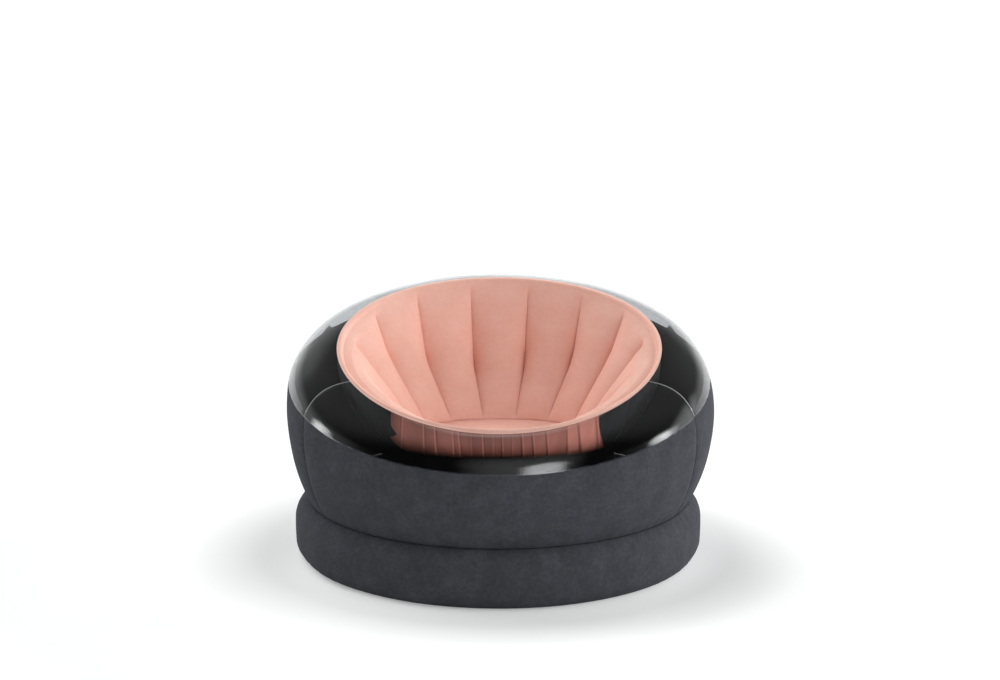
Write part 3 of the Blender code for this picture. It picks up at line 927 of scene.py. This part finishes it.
def skin_surface(turn, depth):
    """The outer skin without pleats. Depth 0 is its edge under the rim and 2 its corner."""
    top = rim_ring(turn, rim_lap)
    top[:, 2] -= skin_top_drop
    corner = squarish_ring(turn, skin_half_width, skin_half_depth, skin_centre_y, skin_height)
    share = depth / 2
    belly = arch(share)
    curtain = curtain_gain * share * (1 - share ** curtain_power)
    front = np.clip(np.cos(turn), 0, 1)
    bulge = size_round(turn, skin_bulges) * (belly + (curtain - belly) * front)
    return top + (corner - top) * share[:, None] + outward(turn) * bulge[:, None]


def pleated(turn, depth):
    """How far the pleats stand out, and how bright each place is drawn: painted highlight on the ridges,
    painted shade in the folds and painted light and shade across the chair.
    """
    across = skin_surface(turn, depth)[:, 0] * 1000
    out = uneven(turn, skin_ripple)
    tone = 0.5 + 0 * turn
    for place, height, width, lean, side in pleats:
        away = (across - place - lean * (depth / 2 - 0.5)) * side
        long_side = np.exp(-np.clip(away, 0, None) * pleat_slope / width)
        steep_side = np.exp(-(np.clip(away, None, 0) / pleat_turn) ** 2)
        out += height / 1000 * np.where(away > 0, long_side, steep_side)
        # A painted highlight along each ridge and painted shade in each fold
        ridge = np.exp(-(away / pleat_turn - pleat_painted_highlight_place) ** 2)
        fold = np.exp(-(away / pleat_fold - pleat_painted_shade_place) ** 2)
        tone += height * (pleat_painted_highlight * ridge - pleat_painted_shade * fold)
    # Painted light and shade across the chair
    tone *= 2 * np.interp(across, painted_light_places, painted_light_levels)
    hang = np.sin(np.clip(depth / 2, 0, 1) * math.pi * pleat_hang_share) ** pleat_hang_fullness
    hang = pleat_rim_share + (1 - pleat_rim_share) * hang
    return out * hang * (np.cos(turn) > 0), np.clip(tone, 0, 1)


def skin_place(across, up):
    """The turn and depth of shares of the sheet, which has more columns round its front."""
    edge = (1 - skin_front_share) / 2
    turn = np.interp(across, (0, edge, 1 - edge, 1), (-math.pi, -skin_front_turn, skin_front_turn, math.pi))
    return turn, 2 * (1 - np.clip((up - skin_under_share) / (1 - skin_under_share), 0, 1))


def skin_shape(across, up):
    turn, depth = skin_place(across, up)
    under = np.clip(up / skin_under_share, 0, 1)[:, None]
    hanging = skin_surface(turn, depth) + outward(turn) * pleated(turn, depth)[0][:, None]
    inner = seat_ring(turn, skin_seat_gap, skin_seat_gap)
    below = inner + (skin_surface(turn, 0 * turn + 2) - inner) * under
    return np.where((up < skin_under_share)[:, None], below, hanging)


# The skin's painted light and shade at each point, kept as its tone attribute
def skin_painted_light(across, up):
    turn, depth = skin_place(across, up)
    return pleated(turn, depth)[1]


def gathered_vinyl_painted_light(name, colour, painted_shade_colour, roughness):
    """Thin satin vinyl in gathers, with painted light: its colour goes from the painted shade colour
    in the folds to its own colour on the ridges, by the painted light and shade in the mesh's tone
    attribute."""
    material, tree, place = new_material(name)
    tone = add_node(tree, "Attribute", {"attribute_name": "tone"})
    mixed = add_node(tree, "Mix", {"data_type": "RGBA", 6: linear(painted_shade_colour), 7: linear(colour)},
                     {"Factor": tone.outputs["Fac"]})
    peel = add_node(tree, "TexNoise", {"Scale": per_metre(5.5), "Detail": 2.0}, {"Vector": place})
    bump = add_node(tree, "Bump", {"Strength": 0.1, "Distance": 0.0005}, {"Height": peel})
    shader = add_node(tree, "BsdfPrincipled", {"Specular IOR Level": 0.35, "Roughness": roughness},
                      {"Base Color": mixed.outputs[2], "Normal": bump})
    add_node(tree, "OutputMaterial", {}, {"Surface": shader})
    return material


# The coral is drawn darker by painted shade in the folds and lighter by painted highlight on the ridges
coral_vinyl = gathered_vinyl_painted_light("gathered_coral_vinyl_painted_light", "ffa28e", "6a332c", 0.36)
black_vinyl = plain_vinyl("black_vinyl", "0e0e0f", 0.5, 0.2)
skin = loft("pleated_outer_skin", skin_columns, skin_rows, skin_shape, True, skin_painted_light)
thicken(skin, sheet_thickness, coral_vinyl, charcoal_back)
skin.data.materials.append(black_vinyl)
# Faces beyond the coral edges are drawn black, as dark as the sides look through the film
for face in skin.data.polygons:
    x, y, z = face.center
    down = (rim_heights[0] - z) / (rim_heights[0] - skin_height)
    left = np.interp(down, coral_left_downs, coral_left_edge)
    right = np.interp(down, coral_right_downs, coral_right_edge)
    if face.material_index == 0 and not (left < x < right and y < skin_centre_y):
        face.material_index = 2
stand_for(skin, "chair", "coral_vinyl", "bowl_outer_skin")


# Inside: the waist web
# A dark sheet across the chair, welded into the waist, that draws it in. Air passes through
# its round opening.

web_columns = 192
web_rows = 30
web_opening_radius = 0.150
web_sag = 0.002
web_ripple = (0.002, 8, 24, 81)

web_vinyl = plain_vinyl("dark_web_vinyl", "0a0a0b", 0.7, 0.1)


def web_shape(across, up):
    turn = 2 * math.pi * across
    edge = ring(turn, waist_radius, waist_radius, base_centre_y, waist_height - sheet_thickness / 2)
    opening = ring(turn, web_opening_radius, web_opening_radius, seat_centre_y, waist_height)
    point = edge + (opening - edge) * up[:, None]
    point[:, 2] += np.sin(math.pi * up) * (web_sag + uneven(turn, web_ripple))
    return point


web = loft("waist_web_sheet", web_columns, web_rows, web_shape, True)
thicken(web, sheet_thickness, web_vinyl, web_vinyl)
stand_for(web, "chair", "web_vinyl", "waist_web")


# Inside: the ties
# Upright bands of the same dark sheet. One holds each groove of the liner to the outer skin,
# and below every second one a band holds the bowl down to the web and another the floor flat.

tie_columns = 16
tie_rows = 24
tie_wave = 0.0006
tie_clearance = 0.0016
lower_tie_every = 2
bowl_tie_depths = (0.25, 1.7)


def band(name, node, inner_edge, outer_edge, number):
    """One tie between two edges, each given as points for shares up, with a faint wave."""
    def shape(across, up):
        inner, outer = inner_edge(up), outer_edge(up)
        point = outer + (inner - outer) * across[:, None]
        side = np.array([-(outer - inner)[0, 1], (outer - inner)[0, 0], 0])
        side /= np.linalg.norm(side)
        wave = tie_wave * np.sin(math.pi * across) * np.sin(2 * math.pi * up + number)
        return point + side * wave[:, None]

    tie = loft(name, tie_columns, tie_rows, shape, False)
    up = np.linspace(0, 1, tie_rows)
    middle = (inner_edge(up) + outer_edge(up)) / 2
    thicken(tie, sheet_thickness, web_vinyl, web_vinyl)
    stand_for(tie, "chair", "web_vinyl", node)


def edge_between(low, high):
    """An edge that runs straight between two points."""
    return lambda up: low + (high - low) * up[:, None]


def bowl_tie_edge(surface, turn, lift):
    """An edge down the liner's air side or the skin's, from below the lip to above the seat."""
    def edge(up):
        top, end = bowl_tie_depths
        depth = end + (top - end) * up
        turns = turn + 0 * up
        return surface(turns, depth) + outward(turns) * lift - [0, 0, tie_clearance]
    return edge


for index in range(channel_count):
    turn = math.pi * (2 * index + 1) / channel_count
    here = np.array([turn])
    band(f"bowl_tie_band_{index + 1:02d}", f"bowl_tie_{index + 1:02d}",
         bowl_tie_edge(plain_bowl, turn, tie_clearance), bowl_tie_edge(skin_surface, turn, -tie_clearance),
         index)
    if index % lower_tie_every:
        continue
    number = index // lower_tie_every + 1
    seat_edge = seat_ring(here, skin_seat_gap, skin_seat_gap + weld_gap)[0]
    corner = skin_surface(here, 0 * here + 2)[0] - [0, 0, sheet_thickness]
    fold = ring(here, fold_half_width, fold_half_depth, fold_centre_y, 0)[0]
    level = waist_height + sheet_thickness
    band(f"seat_tie_band_{number}", f"seat_tie_{number}",
         edge_between(np.array([*seat_edge[:2], level]), seat_edge),
         edge_between(np.array([*corner[:2], level]), corner), index)
    below = waist_height - sheet_thickness
    band(f"base_tie_band_{number}", f"base_tie_{number}",
         edge_between(np.array([*seat_edge[:2], 2 * sheet_thickness]), np.array([*seat_edge[:2], below])),
         edge_between(np.array([*fold[:2], 2 * sheet_thickness]), np.array([*fold[:2], below])), index)


# Valve: flange and weld
# A moulded black vinyl neck with a round flange, welded behind the base wall at the back of
# the chair. The weld leaves a smooth pressed ring on the flocked side.

valve_sides = 192
profile_steps = 4
flange_radius = 0.0280
flange_thickness = 0.0012
neck_radius = 0.0210
neck_bore_radius = 0.0185
neck_proud = 0.0045
neck_lip = 0.0004
weld_ring_inner = 0.0224
weld_ring_outer = 0.0274
weld_ring_proud = 0.0004
small_round = 0.0003
round_points = 5
round_run_share = 0.45
sharp_angle = math.radians(40)


def rounded(profile, radius):
    """A closed profile of (radius, out) points with each corner off the axis rounded."""
    points = [np.array(point) for point in profile]
    smooth = []
    for i, corner in enumerate(points):
        before, after = points[i - 1], points[(i + 1) % len(points)]
        if corner[0] == 0:
            smooth.append(corner)
            continue
        reach = [min(radius, np.linalg.norm(end - corner) * round_run_share) for end in (before, after)]
        enter = corner + (before - corner) / np.linalg.norm(before - corner) * reach[0]
        leave = corner + (after - corner) / np.linalg.norm(after - corner) * reach[1]
        for share in np.linspace(0, 1, round_points):
            smooth.append(enter * (1 - share) ** 2 + corner * 2 * share * (1 - share) + leave * share ** 2)
    return np.array(smooth + smooth[:1])


def turned(name, profile, finish, relief=None, steps=profile_steps):
    """A turned piece on the valve's axis, with some steps to each run of its profile. relief
    adds to the radius for angles, outs and radii."""
    rows = steps * (len(profile) - 1)

    def shape(across, up):
        angle = 2 * math.pi * across
        place = up * (len(profile) - 1)
        radius = np.interp(place, range(len(profile)), profile[:, 0])
        out = np.interp(place, range(len(profile)), profile[:, 1])
        if relief:
            radius = radius + relief(angle, out, radius)
        return np.stack([radius * np.cos(angle), valve_wall_y + out, valve_height + radius * np.sin(angle)],
                        axis=1)

    piece = loft(name, valve_sides, rows, shape, False)
    edit_all()
    bpy.ops.mesh.remove_doubles(threshold=weld_tolerance / 10)
    bpy.ops.mesh.normals_make_consistent(inside=False)
    bpy.ops.object.mode_set(mode="OBJECT")
    piece.data.materials.append(finish)
    bpy.ops.object.shade_smooth_by_angle(angle=sharp_angle)
    return piece


def moulded_vinyl(name, colour, roughness):
    """Moulded soft vinyl: satin, with the fine spark texture of its mould."""
    material, tree, place = new_material(name)
    spark = add_node(tree, "TexNoise", {"Scale": per_metre(0.7), "Detail": 2.0}, {"Vector": place})
    cloud = add_node(tree, "TexNoise", {"Scale": per_metre(11), "Detail": 2.0}, {"Vector": place})
    rough = add_node(tree, "MapRange", {"To Min": roughness * 0.8, "To Max": roughness * 1.2},
                     {"Value": cloud})
    bump = add_node(tree, "Bump", {"Strength": 0.15, "Distance": 0.0002}, {"Height": spark})
    shader = add_node(tree, "BsdfPrincipled", {"Base Color": linear(colour)},
                      {"Roughness": rough, "Normal": bump})
    add_node(tree, "OutputMaterial", {}, {"Surface": shader})
    return material


black_moulding = moulded_vinyl("moulded_black_vinyl", "1e1f21", 0.42)
pressed_charcoal = moulded_vinyl("welded_charcoal_flock", "2a2b2e", 0.55)

flange_back = -sheet_thickness - weld_gap
flange = turned("valve_neck_and_flange", rounded([
    (neck_bore_radius, flange_back - flange_thickness),
    (flange_radius, flange_back - flange_thickness),
    (flange_radius, flange_back),
    (neck_radius, flange_back),
    (neck_radius, neck_proud - 4 * neck_lip),
    (neck_radius - neck_lip, neck_proud - 4 * neck_lip),
    (neck_radius - neck_lip, neck_proud),
    (neck_bore_radius, neck_proud),
], small_round), black_moulding)
stand_for(flange, "chair", "valve_vinyl", "valve_flange")
weld_ring = turned("valve_weld_ring", rounded([
    (weld_ring_inner, -small_round),
    (weld_ring_inner, weld_ring_proud),
    (weld_ring_outer, weld_ring_proud),
    (weld_ring_outer, -small_round),
], small_round), pressed_charcoal)
stand_for(weld_ring, "chair", "charcoal_flock")


# Valve: gasket
# A pale moulded rubber ring between the neck and the screw-in body's rim. The rim presses it
# tight, and it lifts with the screw.

moving_gap = 0.0003
gasket_thickness = 0.0015
gasket_inner_radius = 0.0190
gasket_out = neck_proud + moving_gap

rubber = moulded_vinyl("pale_seal_rubber", "d6d3ca", 0.6)
gasket = turned("valve_gasket_ring", rounded([
    (gasket_inner_radius, gasket_out),
    (neck_radius, gasket_out),
    (neck_radius, gasket_out + gasket_thickness),
    (gasket_inner_radius, gasket_out + gasket_thickness),
], 2 * small_round), rubber)
stand_for(gasket, "gasket", "seal_rubber", "valve_gasket")


# Valve: screw-in body
# One black moulding: a ribbed rim to grip, a threaded barrel that screws into the neck, the
# air port with its seat, and two ears for the cap's hinge.

rim_radius = 0.0235
rim_thickness = 0.0035
barrel_radius = 0.0182
barrel_inner_radius = 0.0150
barrel_length = 0.0155
port_radius = 0.0095
port_length = 0.0065
rim_back = gasket_out + gasket_thickness + moving_gap
rim_face = rim_back + rim_thickness
dish_radius = 0.0185
dish_depth = 0.0006
grip_ribs = 36
grip_depth = 0.0006
grip_fullness = 0.7
thread_pitch = 0.0050
thread_depth = 0.0006
thread_steepness = 3
ear_gap = 0.0003
ear_thickness = 0.0018
ear_half_height = 0.0016
ear_proud = 0.0030
cap_hinge_drop = 0.0175
knuckle_radius = 0.0012
knuckle_length = 0.0080
row_spacing = 0.0004
bevel_segments = 3


def ribs_and_thread(angle, out, radius):
    on_grip = (radius > rim_radius - grip_depth) & (out > rim_back) & (out < rim_face)
    ribs = -grip_depth * (0.5 - 0.5 * np.cos(grip_ribs * angle)) ** grip_fullness
    on_barrel = (radius > barrel_inner_radius + thread_depth) & (radius < barrel_radius + small_round)
    on_barrel &= (out < rim_back - small_round) & (out > rim_back - barrel_length + small_round)
    turn = (out / thread_pitch - angle / (2 * math.pi)) % 1
    thread = -thread_depth * np.clip(np.abs(2 * turn - 1) * thread_steepness - 1, 0, 1)
    return np.where(on_grip, ribs, 0) + np.where(on_barrel, thread, 0)


def dense(profile, longest):
    """Adds points to a profile's long runs, so that ribs and threads have rows to follow."""
    points = [profile[0]]
    for start, end in zip(profile, profile[1:]):
        count = max(1, math.ceil(np.linalg.norm(end - start) / longest))
        points += [start + (end - start) * (i + 1) / count for i in range(count)]
    return np.array(points)


def small_block(name, low, high, bevel, finish):
    """A small moulded block in the valve's own frame (across, out, up), with soft edges."""
    bpy.ops.object.select_all(action="DESELECT")
    middle = [(a + b) / 2 for a, b in zip(low, high)]
    bpy.ops.mesh.primitive_cube_add(size=1, location=(middle[0], valve_wall_y + middle[1],
                                                      valve_height + middle[2]))
    block = bpy.context.object
    block.name = name
    block.scale = [b - a for a, b in zip(low, high)]
    bpy.ops.object.transform_apply(location=True, rotation=True, scale=True)
    edit_all()
    bpy.ops.mesh.bevel(offset=bevel, segments=bevel_segments)
    bpy.ops.object.mode_set(mode="OBJECT")
    block.data.materials.append(finish)
    return block


def join(piece, *extras):
    """Makes the extra shapes part of the piece's mesh."""
    bpy.ops.object.select_all(action="DESELECT")
    for extra in (*extras, piece):
        extra.select_set(True)
    bpy.context.view_layer.objects.active = piece
    bpy.ops.object.join()
    bpy.ops.object.shade_smooth_by_angle(angle=sharp_angle)


body = turned("valve_screw_body", dense(rounded([
    (port_radius, rim_face - port_length),
    (port_radius, rim_face),
    (dish_radius - dish_depth, rim_face - dish_depth),
    (dish_radius, rim_face),
    (rim_radius, rim_face),
    (rim_radius, rim_back),
    (barrel_radius, rim_back),
    (barrel_radius, rim_back - barrel_length),
    (barrel_inner_radius, rim_back - barrel_length),
    (barrel_inner_radius, rim_face - port_length),
], small_round), row_spacing), black_moulding, ribs_and_thread, steps=1)
ear_near = knuckle_length / 2 + ear_gap
ear_far = ear_near + ear_thickness
ear_low = (rim_face - small_round, -cap_hinge_drop - ear_half_height)
ear_high = (rim_face + ear_proud, -cap_hinge_drop + ear_half_height)
ears = []
for start, end in ((-ear_far, -ear_near), (ear_near, ear_far)):
    ears.append(small_block("cap_ear", (start, *ear_low), (end, *ear_high), small_round, black_moulding))
join(body, *ears)
stand_for(body, "screw_valve", "valve_vinyl", "valve_body")


# Valve: cap
# A black moulded cap with a tapered plug, a finger tab, and a strap that bends at a knuckle
# between the body's ears.

plug_root_radius = 0.0092
plug_tip_radius = 0.0083
plug_length = 0.0055
cap_radius = 0.0130
cap_thickness = 0.0025
cap_crown = 0.0005
cap_strap_width = 0.0060
cap_strap_thickness = 0.0012
cap_tab_width = 0.0085
cap_tab_reach = 0.0042
cap_tab_thickness = 0.0016
cap_tab_root_share = 0.8
cap_knurls = 48
cap_dish_shares = (0.72, 0.66)
knuckle_sides = 48
cap_seat = rim_face + moving_gap
hinge_out = cap_seat + knuckle_radius


def cap_edge(angle, out, radius):
    on_edge = (radius > cap_radius - small_round) & (out > cap_seat)
    return np.where(on_edge, -0.5 * small_round * (1 - np.cos(cap_knurls * angle)), 0)


cap = turned("valve_cap_and_strap", rounded([
    (0, cap_seat - plug_length + small_round),
    (plug_tip_radius, cap_seat - plug_length),
    (plug_root_radius, cap_seat),
    (cap_radius, cap_seat),
    (cap_radius, cap_seat + cap_thickness),
    (cap_radius * cap_dish_shares[0], cap_seat + cap_thickness),
    (cap_radius * cap_dish_shares[1], cap_seat + cap_thickness - cap_crown),
    (0, cap_seat + cap_thickness - cap_crown),
], small_round), black_moulding, cap_edge)
strap = small_block("cap_strap",
                    (-cap_strap_width / 2, hinge_out - cap_strap_thickness / 2, -cap_hinge_drop),
                    (cap_strap_width / 2, hinge_out + cap_strap_thickness / 2, -cap_radius / 2),
                    small_round, black_moulding)
tab = small_block("cap_tab", (-cap_tab_width / 2, cap_seat, cap_radius * cap_tab_root_share),
                  (cap_tab_width / 2, cap_seat + cap_tab_thickness, cap_radius + cap_tab_reach),
                  2 * small_round, black_moulding)
bpy.ops.object.select_all(action="DESELECT")
bpy.ops.mesh.primitive_cylinder_add(vertices=knuckle_sides, radius=knuckle_radius, depth=knuckle_length,
                                    location=(0, valve_wall_y + hinge_out, valve_height - cap_hinge_drop),
                                    rotation=(0, math.pi / 2, 0))
knuckle = bpy.context.object
bpy.ops.object.transform_apply(location=True, rotation=True, scale=True)
knuckle.data.materials.append(black_moulding)
join(cap, strap, tab, knuckle)
stand_for(cap, "cap", "valve_vinyl", "valve_cap")


# Valve: flap
# A soft pale rubber disc inside the port, moulded thin in its middle. The chair's air holds it
# shut while the cap is off.

flap_radius = 0.0102
flap_thickness = 0.0010
# Where the step from its thin middle to its edge lies, and how thin the middle is
flap_step_shares = (0.75, 0.82)
flap_middle_share = 0.8
flap_shut = rim_face - port_length - moving_gap

flap = turned("valve_flap_disc", rounded([
    (0, flap_shut - flap_thickness * flap_middle_share),
    (flap_radius * flap_step_shares[0], flap_shut - flap_thickness * flap_middle_share),
    (flap_radius * flap_step_shares[1], flap_shut - flap_thickness),
    (flap_radius, flap_shut - flap_thickness),
    (flap_radius, flap_shut),
    (0, flap_shut),
], small_round), rubber)
stand_for(flap, "flap", "seal_rubber", "valve_flap")
